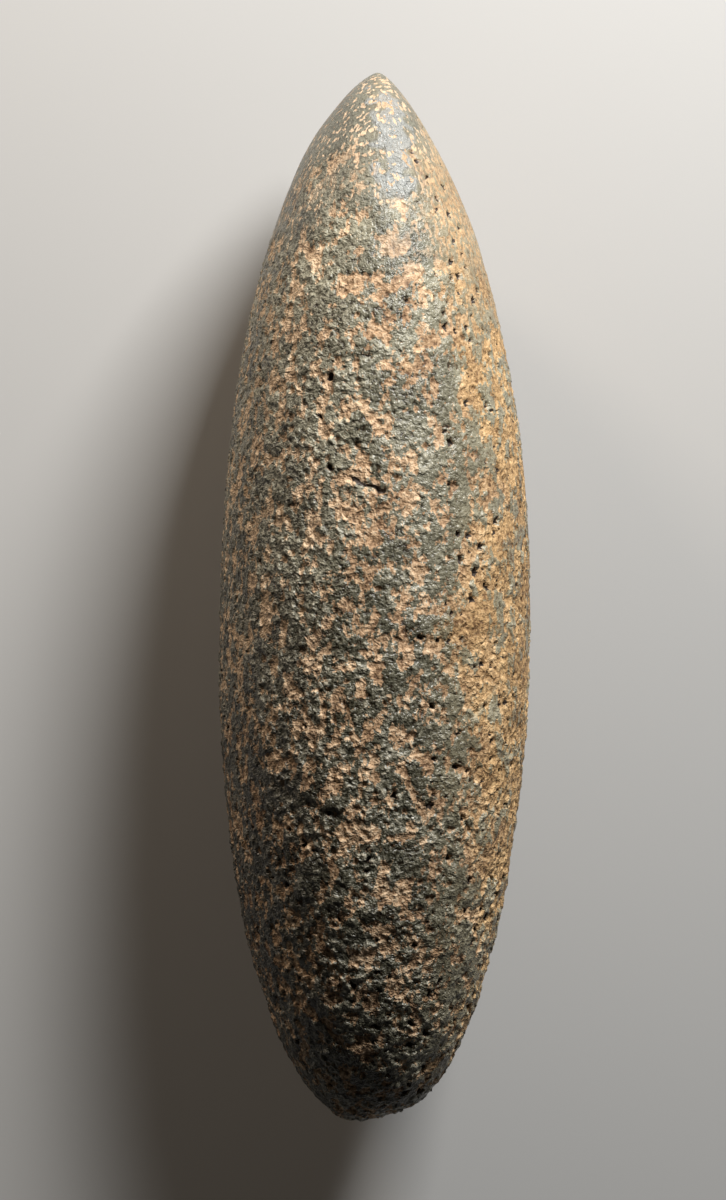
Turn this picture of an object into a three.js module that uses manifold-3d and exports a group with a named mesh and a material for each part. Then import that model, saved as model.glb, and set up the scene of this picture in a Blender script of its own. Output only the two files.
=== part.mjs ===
// Polished stone axe head, one solid piece, lying on one of its two narrow sides.
// Millimetres. +Y points to the cutting edge, +X runs across the thickness, +Z is up.
// The origin is on the surface that the axe lies on, under the middle of the axe.

import * as THREE from 'three';
import { mergeVertices } from 'three/addons/utils/BufferGeometryUtils.js';
import Module from 'manifold-3d';

// Sizes
const LENGTH = 150; // from the cutting edge to the end of the butt
const THICKNESS = 44.8; // from face to face, at the thickest section
const WIDTH = 54; // from side to side, at the widest section
const REST_DEPTH = 0.7; // how deep the flat resting spot is cut into the lower side
const EDGE_DRIFT = 0.7; // how far the cutting edge stands towards +X
const BUTT_DRIFT = -1.9; // how far the end of the butt stands towards -X
const BOW = 0.3; // how far the body bows to each side between them

// Where the axe is fullest, as a share of its length from the cutting edge, and how it gets there.
// A higher swell keeps the section full for longer. A lower closure makes the end rounder.
const THICKNESS_PROFILE = {
  fullest: 0.571,
  edge: { swell: 2.5, closure: 0.72 },
  butt: { swell: 1.75, closure: 0.43 },
};
const WIDTH_PROFILE = {
  fullest: 0.46,
  edge: { swell: 3.0, closure: 0.46 },
  butt: { swell: 2.1, closure: 0.5 },
};
const SECTION_POWER = 2.1; // 2 is a true ellipse, and more is squarer
const EDGE_REACH = 0.08; // share of the length over which the cutting edge drifts
const BUTT_REACH = 0.03; // share of the length over which the butt drifts
const BOW_START = 0.2; // share of the length at which the bow crosses the middle line
const BOW_PERIOD = 0.9; // share of the length that one whole bow takes

// Facets
const FACETS_AROUND = 64;
const FACETS_ALONG = 72;

const STONE = new THREE.MeshStandardMaterial({
  name: 'greenstone',
  color: 0x837763,
  roughness: 0.55,
  metalness: 0,
});

// Half of the breadth at a share of the length from the cutting edge
function halfBreadth(breadth, profile, share) {
  const towardsEdge = share < profile.fullest;
  const end = towardsEdge ? profile.edge : profile.butt;
  const reach = towardsEdge ? profile.fullest : 1 - profile.fullest;
  const away = Math.min(Math.abs(share - profile.fullest) / reach, 1);
  return (breadth / 2) * (1 - away ** end.swell) ** end.closure;
}

// Falls from 1 at an end of the axe to 0 once the share of the length from it is past the reach
function fade(share, reach, power) {
  return Math.max(0, 1 - share / reach) ** power;
}

// How far the middle of a section stands from the straight middle line, along X
function drift(share) {
  const bow = BOW * Math.sin((2 * Math.PI * (share - BOW_START)) / BOW_PERIOD);
  const edge = EDGE_DRIFT * fade(share, EDGE_REACH, 2);
  const butt = BUTT_DRIFT * fade(1 - share, BUTT_REACH, 3);
  return bow + edge + butt;
}

// One coordinate of the section's outline, as a share of its half breadth
function rounded(value) {
  return Math.sign(value) * Math.abs(value) ** (2 / SECTION_POWER);
}

// Moves a point of the unit sphere, whose poles are on Y, to its place on the stone
function placeOnStone(point) {
  const share = (1 - point.y) / 2;
  const angle = Math.atan2(point.z, point.x);
  const x = halfBreadth(THICKNESS, THICKNESS_PROFILE, share) * rounded(Math.cos(angle));
  const z = halfBreadth(WIDTH, WIDTH_PROFILE, share) * rounded(Math.sin(angle));
  return point.set(x + drift(share), (point.y * LENGTH) / 2, z);
}

function stoneGeometry() {
  const geometry = new THREE.SphereGeometry(1, FACETS_AROUND, FACETS_ALONG);
  geometry.deleteAttribute('normal');
  geometry.deleteAttribute('uv');
  const positions = geometry.getAttribute('position');
  const point = new THREE.Vector3();
  for (let i = 0; i < positions.count; i += 1) {
    placeOnStone(point.fromBufferAttribute(positions, i));
    positions.setXYZ(i, point.x, point.y, point.z);
  }
  return mergeVertices(geometry);
}

// A block under the axe, whose top is the plane of the resting spot
function restBlock() {
  const block = new THREE.BoxGeometry(THICKNESS, LENGTH, WIDTH);
  block.translate(0, 0, REST_DEPTH - WIDTH);
  block.deleteAttribute('normal');
  block.deleteAttribute('uv');
  return mergeVertices(block);
}

const wasm = await Module();
wasm.setup();

function toSolid(geometry) {
  return new wasm.Manifold(
    new wasm.Mesh({
      numProp: 3,
      vertProperties: new Float32Array(geometry.getAttribute('position').array),
      triVerts: new Uint32Array(geometry.index.array),
    }),
  );
}

function toGeometry(solid) {
  const mesh = solid.getMesh();
  const geometry = new THREE.BufferGeometry();
  geometry.setAttribute('position', new THREE.BufferAttribute(mesh.vertProperties, 3));
  geometry.setIndex(new THREE.BufferAttribute(mesh.triVerts, 1));
  return geometry;
}

// Moves the geometry so that its box is centred over the origin and stands on it
function setDown(geometry) {
  geometry.computeBoundingBox();
  const { min, max } = geometry.boundingBox;
  return geometry.translate(-(min.x + max.x) / 2, -(min.y + max.y) / 2, -min.z);
}

const ground = toSolid(stoneGeometry()).subtract(toSolid(restBlock()));
const geometry = setDown(toGeometry(ground));
geometry.computeVertexNormals();

const axeHead = new THREE.Mesh(geometry, STONE);
axeHead.name = 'axe_head';

const axe = new THREE.Group();
axe.add(axeHead);

export default axe;
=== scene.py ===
"""Polished stone axe head on one narrow side: its worked surface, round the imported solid."""

import math
from collections import namedtuple

import bmesh
import bpy
from mathutils import Matrix, Vector


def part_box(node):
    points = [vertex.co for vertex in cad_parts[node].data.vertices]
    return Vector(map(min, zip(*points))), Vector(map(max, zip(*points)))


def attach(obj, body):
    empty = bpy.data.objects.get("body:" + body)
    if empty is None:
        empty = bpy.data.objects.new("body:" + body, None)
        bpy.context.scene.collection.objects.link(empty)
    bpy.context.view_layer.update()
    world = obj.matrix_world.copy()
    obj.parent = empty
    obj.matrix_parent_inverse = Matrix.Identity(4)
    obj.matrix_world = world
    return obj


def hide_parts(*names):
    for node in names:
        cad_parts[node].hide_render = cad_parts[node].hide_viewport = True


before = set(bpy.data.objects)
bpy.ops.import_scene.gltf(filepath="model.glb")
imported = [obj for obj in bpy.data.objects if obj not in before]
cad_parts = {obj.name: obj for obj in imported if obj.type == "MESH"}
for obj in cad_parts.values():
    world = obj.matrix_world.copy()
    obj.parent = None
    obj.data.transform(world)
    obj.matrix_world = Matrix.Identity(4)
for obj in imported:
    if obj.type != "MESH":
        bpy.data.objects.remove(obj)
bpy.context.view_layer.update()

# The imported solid, in millimetres
MM = 0.001
NODE = "axe_head"
LOW, HIGH = (Vector(corner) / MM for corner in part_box(NODE))
MIDDLE = (LOW + HIGH) / 2
HALF_THICKNESS = (HIGH.x - LOW.x) / 2

# The mesh of the stone
REST = "rest_mm"  # attribute that keeps each point's place on the uncarved stone, in millimetres
VOXEL = 0.27  # millimetres between its points before the relief is carved
MOST_TRIANGLES = 198_000
WELD = 0.002  # points of the solid that are this many millimetres apart are one
QUAD_BEND = math.radians(25)  # the most that two triangles may turn where they make one quad
QUAD_SKEW = math.radians(40)  # the most that a quad's corners may be out of square
ROUNDING = 2  # how many times the solid's faces are split to round it

# Regions along the stone: where each starts and where it is full, in millimetres from the cutting edge
POLISH = 32, 9
PECKING = 80, 135
PATINA = 100, 25
LOWER = 40, 60  # where there is a little less ochre
PAINTED_SHADE_SPAN = 70, 115  # where painted shade darkens the -X face

# Regions across the stone, in the same way: -1 is the -X face, 0 the middle and 1 the +X face
FAR_FACE = -0.1, -0.8
SHORT_POLISH = 0.1, 0.5  # where the polish is shorter
OCHRE = 0.16, 0.62

# Strips along the stone, each with its middle and its reach to both sides, also from -1 to 1
CHIPPED = -0.1, 0.55
SAGE = 0.36, 0.30
OLIVE = 0.50, 0.42

# How far their borders move for each 1 of the noise that moves them, in millimetres
WANDER = 40
FACET_WANDER = 12
FACET_FRAY = 7
POLISH_SHORTER = 8  # how much shorter the polish is on the +X side

# The glossy facet on the polish, in millimetres
FACET_X = 0.8
FACET_HALF_WIDTH = 2.9, 1.6  # where it ends and where it is whole, from its middle line
FACET_ALONG = 11.5, 9.5  # its middle from the cutting edge, and its reach to both sides

NEAR_SIDE = MIDDLE.z - 4, MIDDLE.z + 6  # heights at which the near side's marks start and are full

# Single marks on the near side, from one place in plan to another, in millimetres
Mark = namedtuple("Mark", "start end reach depth")
CRACK = Mark((-5.8, 16.2), (-1.5, 14.6), 0.6, 0.4)
GROOVE = Mark((-16.4, -25.9), (-7.7, -30.9), 1.1, 0.28)
SCRATCH = Mark((12.1, -16.5), (15.4, -12.6), 0.45, 0.06)

# Depths in millimetres
SWELL_DEPTH = 0.20  # broad and gentle hollows
PECK_DEPTH = 0.08  # hollows that the pecking left
KNOCK_DEPTH = 0.04  # and smaller ones
BUTT_DEPTH = 0.08  # how much deeper both are at the butt
FLAKE_DEPTH = 0.07  # where thin flakes came off
KNOB_DEPTH = 0.20  # between crumbly knobs
SOIL_DEPTH = 0.13  # the patches that hold soil
PIT_DEPTH = 0.20
HOLE_DEPTH = 0.6
PIT_WALL = 0.08, -0.12  # a pit's wall, from outside its radius to inside it

# Colours of the stone, in linear light
# pale patina, partly painted sheen on the crest
PALE_PATINA_AND_SHEEN = (0.255, 0.243, 0.178)
OLIVE_STAIN = (0.275, 0.245, 0.160)
# painted shadow over the -X face towards the butt
PAINTED_SHADOW_STONE = (0.006, 0.004, 0.002)
POLISHED_GREEN = (0.135, 0.140, 0.112)
POLISHED_OCHRE = (0.310, 0.244, 0.148)
# the facet's light bluish grey: partly its own colour, partly painted sheen
FACET_BLUE_AND_SHEEN = (0.262, 0.280, 0.288)
CRYSTAL = (0.50, 0.47, 0.37)
SCRATCHED = (0.50, 0.38, 0.22)
# painted shadow inside the holes and the crack
HOLE_SHADOW = (0.020, 0.010, 0.004)

# Colours of the soil in its hollows
FLECK = (0.550, 0.450, 0.340)
# painted light: paler soil on the -X face above the painted shadow
PAINTED_LIGHT_SOIL = (0.720, 0.560, 0.390)
# painted shadow: dark soil low on the -X face
PAINTED_SHADOW_SOIL = (0.050, 0.025, 0.010)

# The floor and the studio
FLOOR_HALF = 4.0
FLOOR_COLOUR = (0.38, 0.38, 0.376, 1)
FLOOR_ROUGHNESS = 0.8
AIR_COLOUR = (1.0, 0.94, 0.86, 1)
AIR_STRENGTH = 0.02

# The photograph's view, in millimetres
VIEW_TILT = math.radians(6)  # the camera stands this far over towards the -X face
VIEW_DISTANCE = 700
VIEW_AIM = Vector((-1.67, -0.36, 27.0))
VIEW_HEIGHT = 171.26  # how much of the length the frame takes in at the aim
SENSOR = 36

TO_RIGHT = Vector((math.cos(VIEW_TILT), 0, math.sin(VIEW_TILT)))
TO_TOP = Vector((0, 1, 0))
TO_VIEWER = Vector((-math.sin(VIEW_TILT), 0, math.cos(VIEW_TILT)))


class Signal:
    """A number or a vector made by nodes in a shader or geometry tree. To use it makes more nodes."""

    def __init__(self, tree, socket):
        self.tree = tree
        self.socket = socket

    def node(self, kind, output, settings, *values):
        """A new node with these settings, fed these values in the order of its inputs in use."""
        node = self.tree.nodes.new(kind)
        for name, setting in settings.items():
            setattr(node, name, setting)
        inputs = [socket for socket in node.inputs if socket.enabled]
        for socket, value in zip(inputs, values):
            self.feed(socket, value)
        return Signal(self.tree, node.outputs[output])

    def feed(self, socket, value):
        if isinstance(value, Signal):
            self.tree.links.new(value.socket, socket)
        else:
            socket.default_value = value

    def maths(self, operation, *others):
        return self.node("ShaderNodeMath", 0, {"operation": operation}, self, *others)

    def vector(self, operation, other, output=0):
        return self.node("ShaderNodeVectorMath", output, {"operation": operation}, self, other)

    def __add__(self, other):
        return self.maths("ADD", other)

    def __sub__(self, other):
        return self.maths("SUBTRACT", other)

    def __mul__(self, other):
        return self.maths("MULTIPLY", other)

    def __radd__(self, other):
        return self + other

    def __rsub__(self, other):
        return self * -1 + other

    def both(self, other):
        """The larger of two masks."""
        return self.maths("MAXIMUM", other)

    def least(self, other):
        return self.maths("MINIMUM", other)

    def rise(self, start, end):
        """0 up to start, 1 from end, and smooth between them. With start above end it falls."""
        kind = {"interpolation_type": "SMOOTHSTEP", "clamp": True}
        return self.node("ShaderNodeMapRange", 0, kind, self, start, end, 0.0, 1.0)

    def near(self, value, reach):
        """1 at that value, and 0 from reach away on."""
        return (self - value).maths("ABSOLUTE").rise(reach, 0.0)

    def stretched(self, scale):
        return self.vector("MULTIPLY", scale)

    def shifted(self, offset):
        return self.vector("ADD", offset)

    def noise(self, size, detail, roughness=0.5):
        """Cloudy noise round 0.5, whose largest lumps are about that many millimetres apart."""
        return self.node("ShaderNodeTexNoise", 0, {}, self, 1 / size, detail, roughness)

    def warped(self, size, reach):
        """The place moved about by up to roughly reach millimetres, in lumps of that size."""
        cloud = self.node("ShaderNodeTexNoise", "Color", {}, self, 1 / size, 1.0)
        moved = cloud.shifted((-0.5, -0.5, -0.5)).stretched((4 * reach,) * 3)
        return self.shifted(moved)

    def cells(self, size):
        """Points about that far apart: the distance to the nearest, and three random numbers for it."""
        away = self.node("ShaderNodeTexVoronoi", "Distance", {}, self, 1 / size)
        colour = Signal(self.tree, away.socket.node.outputs["Color"])
        return away * size, *colour.parts()

    def pits(self, size, warp, smallest, spread, share):
        """1 in the middle of irregular pits about that far apart. Share is how many there are."""
        away, first, second, _ = self.warped(size * 0.4, warp).cells(size)
        there = (share - first).rise(-0.02, 0.02)
        return (away - second * spread - smallest).rise(*PIT_WALL) * there

    def parts(self):
        """The three numbers of a vector."""
        node = self.tree.nodes.new("ShaderNodeSeparateXYZ")
        self.feed(node.inputs[0], self)
        return [Signal(self.tree, socket) for socket in node.outputs]

    def lumps(self, size, crevice):
        """1 on rounded lumps about that many millimetres apart, and 0 in the crevices between them."""
        away = (self.noise(size, detail=1.0) - 0.5).maths("ABSOLUTE")
        return (away * (1 / crevice)).least(1.0)

    def stroke(self, mark):
        """1 on the line of a mark, and 0 from its reach away on."""
        start, end = Vector((*mark.start, 0)), Vector((*mark.end, 0))
        along = end - start
        flat = self.stretched((1, 1, 0)).shifted(-start)
        share = flat.vector("DOT_PRODUCT", along / along.length_squared, "Value")
        share = share.both(0.0).least(1.0)
        nearest = share.node("ShaderNodeVectorMath", 0, {"operation": "SCALE"}, along, share)
        return flat.vector("DISTANCE", nearest, "Value").rise(mark.reach, 0.0)


def mix(share, first, second):
    """The first value where share is 0, and the second where it is 1."""
    return first + share * (second - first)


def blend(share, first, second):
    """The first colour where share is 0, and the second where it is 1."""
    node = share.tree.nodes.new("ShaderNodeMix")
    node.data_type = "RGBA"
    share.feed(node.inputs["Factor"], share)
    sockets = [socket for socket in node.inputs if socket.type == "RGBA"]
    for socket, colour in zip(sockets, (first, second)):
        share.feed(socket, colour if isinstance(colour, Signal) else (*colour, 1))
    return Signal(share.tree, next(s for s in node.outputs if s.type == "RGBA"))


def ramp(share, *stops):
    """A colour that passes through the stops, each a share and a colour."""
    node = share.tree.nodes.new("ShaderNodeValToRGB")
    share.feed(node.inputs[0], share)
    marks = node.color_ramp.elements
    while len(marks) < len(stops):
        marks.new(0.5)
    for mark, (position, colour) in zip(marks, stops):
        mark.position = position
        mark.color = (*colour, 1)
    return Signal(share.tree, node.outputs[0])


class Stone:
    """Where the stone is polished, pitted, holed and cracked, from a place on the uncarved stone."""

    def __init__(self, place):
        self.place = place
        self.x, y, z = place.parts()
        self.from_edge = HIGH.y - y
        self.side = (self.x - MIDDLE.x) * (1 / HALF_THICKNESS)
        self.near_side = z.rise(*NEAR_SIDE)
        self.wander = place.noise(size=9.0, detail=2.0) - 0.5
        self.regions()
        self.hollows()
        self.marks()

    def regions(self):
        """Broad masks of how the stone was worked and stained, and of where shade is painted, whose
        borders wander.
        """
        wandering = self.from_edge + self.wander * WANDER
        shorter = self.side.rise(*SHORT_POLISH) * POLISH_SHORTER
        self.polish = (wandering - shorter).rise(*POLISH)
        self.pecking = wandering.rise(*PECKING)
        self.patina = wandering.rise(*PATINA) * (1 - self.polish * 0.5)
        self.far_face = self.side.rise(*FAR_FACE)
        # painted shade: where the -X face is darkened towards the butt
        self.painted_shade = self.far_face * self.from_edge.rise(*PAINTED_SHADE_SPAN)
        self.harsh = self.far_face.both(self.pecking * 0.8)
        lower = self.from_edge.rise(*LOWER)
        stained = self.side + self.wander * 1.1 + self.polish * 0.30 - lower * 0.14
        self.ochre = stained.rise(*OCHRE)
        strip = self.side + self.wander * 0.4
        self.sage = strip.near(*SAGE)
        self.olive = strip.near(*OLIVE)
        self.band = (self.side + self.wander * 0.8).near(*CHIPPED) * self.near_side
        frayed = (self.place.noise(size=2.5, detail=1.0) - 0.5) * FACET_FRAY
        across = (self.x + frayed - FACET_X).maths("ABSOLUTE")
        along = (self.from_edge + self.wander * FACET_WANDER + frayed).near(*FACET_ALONG)
        self.facet = across.rise(*FACET_HALF_WIDTH) * along.rise(0.0, 0.25) * self.near_side

    def hollows(self):
        """Masks of the hollows and the lumps between them."""
        place = self.place
        rugged = place.noise(size=6.0, detail=1.0).rise(0.38, 0.62)
        self.rugged = (rugged * 0.6 + 0.4 + self.harsh * 0.4) * (1 - self.polish)
        self.lumps = place.warped(size=0.8, reach=0.3).lumps(size=1.3, crevice=0.13)
        flaked = place.warped(size=0.8, reach=0.2).noise(size=1.5, detail=2.0)
        self.flakes = flaked.rise(0.46, 0.56)
        away, self.knob_tint, _, _ = place.warped(size=0.8, reach=0.35).cells(size=1.25)
        self.knobs = away.rise(0.78, 0.15)
        self.pecks = place.warped(size=3.0, reach=0.6).noise(size=4.2, detail=1.0).rise(0.35, 0.65)
        self.knocks = place.warped(size=1.2, reach=0.25).noise(size=1.6, detail=1.0).rise(0.42, 0.62)
        pit_share = 0.35 - self.polish * 0.6
        self.pits = place.pits(size=1.4, warp=0.30, smallest=0.18, spread=0.50, share=pit_share)
        holed = 0.06 + self.ochre * 0.85 + self.sage * 0.4 + self.pecking * 0.2
        hole_share = holed - self.polish * 0.3
        self.holes = place.pits(size=1.8, warp=0.32, smallest=0.12, spread=0.46, share=hole_share)
        chipped = place.warped(size=1.5, reach=0.3).noise(size=4.0, detail=1.0).rise(0.55, 0.63)
        self.chips = chipped * self.band * (1 - self.polish)
        patches = self.patches().both(self.pits * 0.8).both(self.holes.rise(0.0, 0.3) * 0.8)
        self.soil = mix(self.polish, patches, self.flecks())

    def patches(self):
        """1 where soil lies in patches drawn out along the stone, which grow together in the ochre."""
        drawn_out = self.place.stretched((1, 0.62, 1)).warped(size=1.5, reach=0.25)
        cloud = drawn_out.noise(size=2.15, detail=4.0, roughness=0.66)
        islands = self.place.warped(size=3.0, reach=0.8).noise(size=6.5, detail=1.0) - 0.5
        level = 0.534 - self.chips * 0.06 - self.wander * 0.04 + self.sage * 0.025
        level = level + self.ochre * (islands * 0.55 - 0.085)
        return (cloud - level).rise(-0.022, 0.022)

    def flecks(self):
        """1 in the small flecks of soil on the polish."""
        drawn_out = self.place.stretched((1.3, 0.75, 1.3)).warped(size=0.8, reach=0.12)
        cloud = drawn_out.noise(size=0.9, detail=1.0)
        level = 0.590 + self.facet * 0.06 - self.ochre * 0.12 - self.wander * 0.12
        return (cloud - level).rise(-0.02, 0.03) * 0.9

    def marks(self):
        """The crack across the near side, the groove towards the butt and the scratch on the +X face."""
        loose = self.place.warped(size=1.8, reach=0.35)
        self.crack = loose.stroke(CRACK) * self.near_side
        self.groove = loose.stroke(GROOVE) * self.near_side
        self.scratch = loose.stroke(SCRATCH) * self.near_side

    def depth(self):
        """How far below the uncarved surface the stone lies, in millimetres."""
        swell = self.place.noise(size=15.0, detail=1.0).rise(0.3, 0.7) * SWELL_DEPTH
        deeper = self.pecking * BUTT_DEPTH
        pecked = self.pecks * (deeper + PECK_DEPTH)
        knocked = self.knocks * (deeper + KNOCK_DEPTH)
        worked = (pecked + knocked) * (1 - self.polish * 0.92)
        crumbled = ((1 - self.flakes) * FLAKE_DEPTH + (1 - self.knobs) * KNOB_DEPTH) * self.rugged
        soil = self.soil.rise(0.2, 0.8) * SOIL_DEPTH + self.pits * PIT_DEPTH
        sunk = soil * (1 - self.polish * 0.6)
        holed = self.holes * HOLE_DEPTH * (1 - self.polish * 0.4)
        marked = self.crack * CRACK.depth + self.groove * GROOVE.depth + self.scratch * SCRATCH.depth
        return swell + worked + crumbled + sunk + holed + marked


def smooth_solid():
    """The node's faceted solid as a smooth closed surface, which the carved stone starts from."""
    mesh = bpy.data.meshes.new("smooth_stone")
    solid = bmesh.new()
    solid.from_mesh(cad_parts[NODE].data)
    bmesh.ops.remove_doubles(solid, verts=solid.verts, dist=WELD * MM)
    bmesh.ops.join_triangles(
        solid, faces=solid.faces, angle_face_threshold=QUAD_BEND, angle_shape_threshold=QUAD_SKEW
    )
    solid.to_mesh(mesh)
    solid.free()
    smooth = bpy.data.objects.new("smooth_stone", mesh)
    bpy.context.scene.collection.objects.link(smooth)
    smooth.modifiers.new("round", "SUBSURF").levels = ROUNDING
    return smooth


def apply_modifiers(piece):
    """Replaces the piece's mesh by what its modifiers make of it."""
    made = piece.evaluated_get(bpy.context.evaluated_depsgraph_get())
    mesh = bpy.data.meshes.new_from_object(made)
    piece.modifiers.clear()
    piece.data = mesh


def relief():
    """A geometry tree that pushes each point in, by the depth of the stone at its place."""
    tree = bpy.data.node_groups.new("relief", "GeometryNodeTree")
    tree.interface.new_socket("Geometry", in_out="INPUT", socket_type="NodeSocketGeometry")
    tree.interface.new_socket("Geometry", in_out="OUTPUT", socket_type="NodeSocketGeometry")
    start, end = tree.nodes.new("NodeGroupInput"), tree.nodes.new("NodeGroupOutput")
    read = tree.nodes.new("GeometryNodeInputNamedAttribute")
    read.data_type = "FLOAT_VECTOR"
    read.inputs["Name"].default_value = REST
    depth = Stone(Signal(tree, read.outputs["Attribute"])).depth()
    normal = Signal(tree, tree.nodes.new("GeometryNodeInputNormal").outputs[0])
    inward = normal.node("ShaderNodeVectorMath", 0, {"operation": "SCALE"}, normal, depth * -MM)
    push = tree.nodes.new("GeometryNodeSetPosition")
    tree.links.new(start.outputs[0], push.inputs["Geometry"])
    tree.links.new(inward.socket, push.inputs["Offset"])
    tree.links.new(push.outputs[0], end.inputs[0])
    return tree


def carved_stone():
    """The stone's own mesh: fine points on the smooth solid, carved, then thinned where it is plain."""
    smooth = smooth_solid()
    apply_modifiers(smooth)
    stone = bpy.data.objects.new("stone", smooth.data.copy())
    bpy.context.scene.collection.objects.link(stone)
    remesh = stone.modifiers.new("even", "REMESH")
    remesh.mode = "VOXEL"
    remesh.voxel_size = VOXEL * MM
    cling = stone.modifiers.new("cling", "SHRINKWRAP")
    cling.wrap_method = "NEAREST_SURFACEPOINT"
    cling.target = smooth
    apply_modifiers(stone)
    places = [number / MM for vertex in stone.data.vertices for number in vertex.co]
    rest = stone.data.attributes.new(REST, "FLOAT_VECTOR", "POINT")
    rest.data.foreach_set("vector", places)
    stone.modifiers.new("relief", "NODES").node_group = relief()
    apply_modifiers(stone)
    triangles = sum(len(face.vertices) - 2 for face in stone.data.polygons)
    thin = stone.modifiers.new("thin", "DECIMATE")
    thin.ratio = min(1.0, MOST_TRIANGLES / triangles)
    thin.use_collapse_triangulate = True
    apply_modifiers(stone)
    for vertex in stone.data.vertices:
        vertex.co.z = max(vertex.co.z, 0.0)
    stone.data.shade_smooth()
    bpy.data.objects.remove(smooth)
    return stone


def ground_colour(stone, shade, cloud):
    """Dark green-grey stone, ochre over the +X face, with pale patina partly painted as sheen, painted
    shadow low on the -X face, and a glossy facet partly painted as sheen.
    """
    green = ramp(
        shade,
        (0.0, (0.018, 0.012, 0.005)),
        (0.3, (0.050, 0.046, 0.029)),
        (0.6, (0.100, 0.095, 0.066)),
        (1.0, (0.285, 0.264, 0.202)),
    )
    ochre = ramp(
        shade,
        (0.0, (0.092, 0.045, 0.015)),
        (0.3, (0.175, 0.126, 0.064)),
        (0.6, (0.235, 0.212, 0.142)),
        (1.0, (0.390, 0.350, 0.250)),
    )
    # pale patina on the lighter lumps towards the bit, partly the stone's own and partly painted sheen
    # on the crest
    patina_and_sheen = stone.patina * (0.42 + cloud.rise(0.35, 0.65) * 0.45) * shade.rise(0.0, 0.5)
    ground = blend(stone.ochre, green, ochre)
    ground = blend(patina_and_sheen, ground, PALE_PATINA_AND_SHEEN)
    ground = blend(stone.olive * 0.35, ground, OLIVE_STAIN)
    # painted shadow over the -X face towards the butt
    ground = blend(stone.painted_shade * 0.6, ground, PAINTED_SHADOW_STONE)
    polished = blend(stone.ochre, POLISHED_GREEN, POLISHED_OCHRE)
    ground = blend(stone.polish * 0.5, ground, polished)
    # the facet's light bluish grey, partly painted sheen
    return blend(stone.facet * 0.60, ground, FACET_BLUE_AND_SHEEN)


def soil_colour(stone, shade):
    """Tan soil, ochre on the +X face and pale on the polish, with painted light on the -X face and
    painted shadow low on it.
    """
    shade = shade + stone.polish * (0.3 - stone.ochre * 0.25)
    tan = ramp(
        shade,
        (0.0, (0.095, 0.046, 0.018)),
        (0.3, (0.250, 0.148, 0.074)),
        (0.6, (0.410, 0.262, 0.148)),
        (1.0, (0.590, 0.430, 0.275)),
    )
    ochre = ramp(
        shade,
        (0.0, (0.120, 0.058, 0.018)),
        (0.3, (0.300, 0.178, 0.074)),
        (0.6, (0.430, 0.268, 0.120)),
        (1.0, (0.590, 0.395, 0.195)),
    )
    soil = blend(stone.ochre, tan, ochre)
    soil = blend(stone.polish * (0.45 - stone.ochre * 0.25), soil, FLECK)
    # painted light: paler soil on the -X face above the painted shadow
    soil = blend((stone.far_face - stone.painted_shade) * 0.35, soil, PAINTED_LIGHT_SOIL)
    # painted shadow: darker soil low on the -X face
    return blend(stone.painted_shade * 0.15, soil, PAINTED_SHADOW_SOIL)


def stone_colour(stone, grain, fine, cloud, rubbed):
    """The colour of the surface: stone, soil in its hollows, crystals, the scratch, and painted shadow
    in the holes and the crack.
    """
    # lighter on the knobs and darker in the crevices between them, painted shade; each knob's tint is
    # its own random tone
    crumbly = stone.knobs * 0.32 + stone.knob_tint * 0.20 + 0.06
    # the grain's contrast grows on the -X face and the butt: partly random tone, partly painted light
    # and shade for the grazing light there
    speckle = (grain - 0.5) * (2.2 - stone.polish * 1.2 + stone.harsh * 1.2)
    streaks = (cloud - 0.5) * 0.7 + (rubbed - 0.5) * (0.5 + stone.polish * 1.2)
    shade = crumbly * stone.rugged + speckle + streaks
    shade = shade + stone.chips * 0.15 + stone.patina * 0.08 + 0.28
    ragged = stone.soil + (grain - 0.5) * 0.4 * (1 - stone.polish)
    ground, soil = ground_colour(stone, shade, cloud), soil_colour(stone, shade)
    colour = blend(ragged.rise(0.25, 0.75), ground, soil)
    crystals = fine.rise(0.60, 0.72) * stone.knob_tint * (1 - stone.polish * 0.6)
    colour = blend(crystals * 0.35, colour, CRYSTAL)
    colour = blend(stone.scratch * 0.6, colour, SCRATCHED)
    # painted shadow in the holes and the crack
    painted_hole_shadow = stone.holes.rise(0.15, 0.7).both(stone.crack.rise(0.25, 0.7))
    return blend(painted_hole_shadow, colour, HOLE_SHADOW)


def stone_grain(stone, grain, fine, rubbed):
    """The height of the finest relief, in millimetres, which is too small for the mesh."""
    polish, harsh = stone.polish, stone.harsh
    return (
        stone.knobs * 0.16 * stone.rugged
        + grain * (0.32 - polish * 0.09 + harsh * 0.26)
        + fine * (0.06 - polish * 0.01 + harsh * 0.12)
        + rubbed * (0.05 + polish * 0.14 + stone.facet * 0.06)
        + stone.facet * stone.lumps * 0.13
    )


def stone_material():
    """Dark green-grey stone, with tan and ochre soil in its hollows."""
    material = bpy.data.materials.new("stone")
    material.use_nodes = True
    tree = material.node_tree
    shader = tree.nodes["Principled BSDF"]
    read = tree.nodes.new("ShaderNodeAttribute")
    read.attribute_name = REST
    place = Signal(tree, read.outputs["Vector"])
    stone = Stone(place)

    grain = place.noise(size=0.6, detail=2.0, roughness=0.6)
    fine = place.noise(size=0.2, detail=1.0)
    cloud = place.noise(size=6.0, detail=2.0)
    streaked = place.stretched((4, 0.7, 4)).warped(size=1.5, reach=0.3)
    rubbed = streaked.noise(size=1.4, detail=2.0)

    colour = stone_colour(stone, grain, fine, cloud, rubbed)
    tree.links.new(colour.socket, shader.inputs["Base Color"])
    dull, glossy = 0.34 + stone.soil * 0.40, 0.36 + stone.soil * 0.25 - stone.facet * 0.05
    tree.links.new(mix(stone.polish, dull, glossy).socket, shader.inputs["Roughness"])

    bump = tree.nodes.new("ShaderNodeBump")
    bump.inputs["Distance"].default_value = MM
    bump.inputs["Strength"].default_value = 1.0
    height = stone_grain(stone, grain, fine, rubbed)
    tree.links.new(height.socket, bump.inputs["Height"])
    tree.links.new(bump.outputs[0], shader.inputs["Normal"])
    return material


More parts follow.
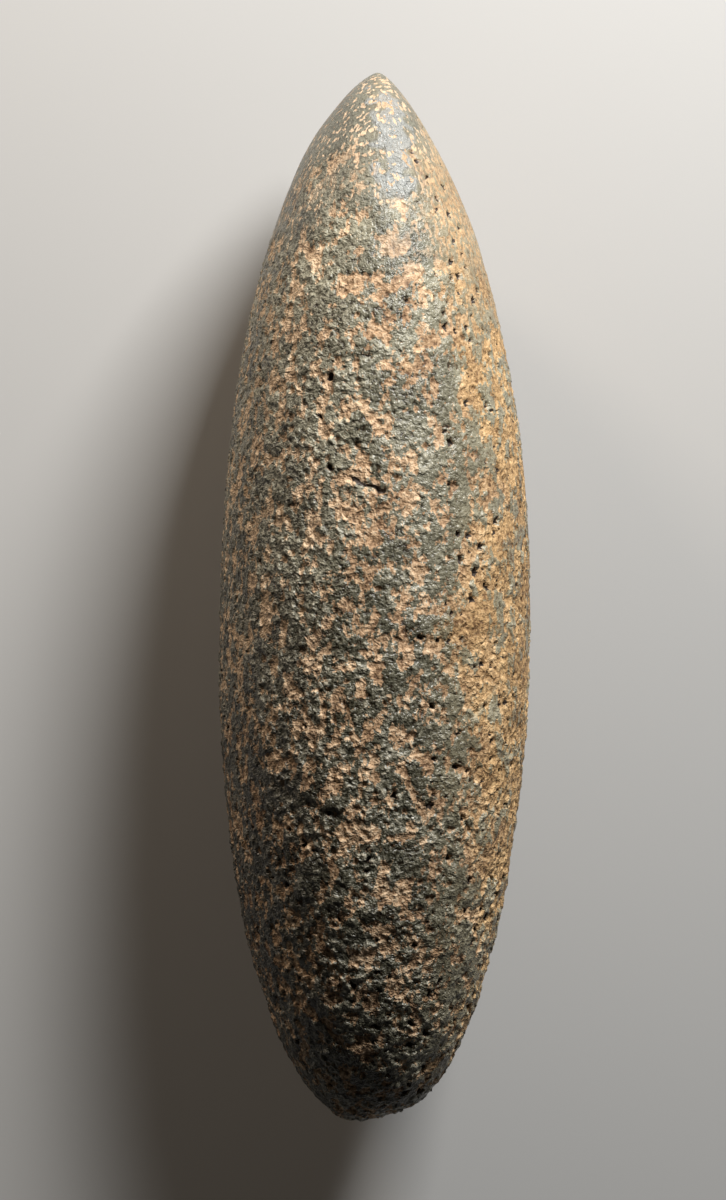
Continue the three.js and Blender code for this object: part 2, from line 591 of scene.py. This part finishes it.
def floor():
    """A plain pale floor that the axe lies on."""
    half = FLOOR_HALF
    mesh = bpy.data.meshes.new("floor")
    corners = [(-half, -half, 0), (half, -half, 0), (half, half, 0), (-half, half, 0)]
    mesh.from_pydata(corners, [], [(0, 1, 2, 3)])
    material = bpy.data.materials.new("floor")
    material.use_nodes = True
    shader = material.node_tree.nodes["Principled BSDF"]
    shader.inputs["Base Color"].default_value = FLOOR_COLOUR
    shader.inputs["Roughness"].default_value = FLOOR_ROUGHNESS
    mesh.materials.append(material)
    plane = bpy.data.objects.new("floor", mesh)
    bpy.context.scene.collection.objects.link(plane)


def camera():
    data = bpy.data.cameras.new("camera")
    data.sensor_width = SENSOR
    data.lens = SENSOR * VIEW_DISTANCE / VIEW_HEIGHT
    seen = bpy.data.objects.new("camera", data)
    bpy.context.scene.collection.objects.link(seen)
    turn = Matrix((TO_RIGHT, TO_TOP, TO_VIEWER)).transposed().to_4x4()
    seen.matrix_world = Matrix.Translation((VIEW_AIM + TO_VIEWER * VIEW_DISTANCE) * MM) @ turn
    bpy.context.scene.camera = seen


def soft_light(name, right, top, viewer, away, size, power, colour):
    """A square lamp in that direction as the camera sees it, so many metres from the axe."""
    data = bpy.data.lights.new(name, "AREA")
    data.color = colour
    data.size = size
    data.energy = power
    lamp = bpy.data.objects.new(name, data)
    bpy.context.scene.collection.objects.link(lamp)
    direction = (TO_RIGHT * right + TO_TOP * top + TO_VIEWER * viewer).normalized()
    lamp.location = VIEW_AIM * MM + direction * away
    lamp.rotation_mode = "QUATERNION"
    lamp.rotation_quaternion = direction.to_track_quat("Z", "Y")
    lamp.visible_camera = False


def surroundings():
    """Soft studio light: a lamp from the top right, a weaker one from the top left, and faint air."""
    world = bpy.data.worlds.new("studio")
    world.use_nodes = True
    air = world.node_tree.nodes["Background"]
    air.inputs["Color"].default_value = AIR_COLOUR
    air.inputs["Strength"].default_value = AIR_STRENGTH
    bpy.context.scene.world = world
    soft_light(
        "key", right=0.40, top=0.74, viewer=0.55,
        away=0.42, size=0.15, power=3.55, colour=(1.0, 0.985, 0.96),
    )
    soft_light(
        "fill", right=-0.5, top=0.84, viewer=0.30,
        away=0.38, size=0.06, power=0.76, colour=(1.0, 0.84, 0.68),
    )
    bpy.context.scene.view_settings.view_transform = "Standard"


stone = carved_stone()
stone.data.materials.clear()
stone.data.materials.append(stone_material())
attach(stone, "root")
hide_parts(NODE)

floor()
camera()
surroundings()
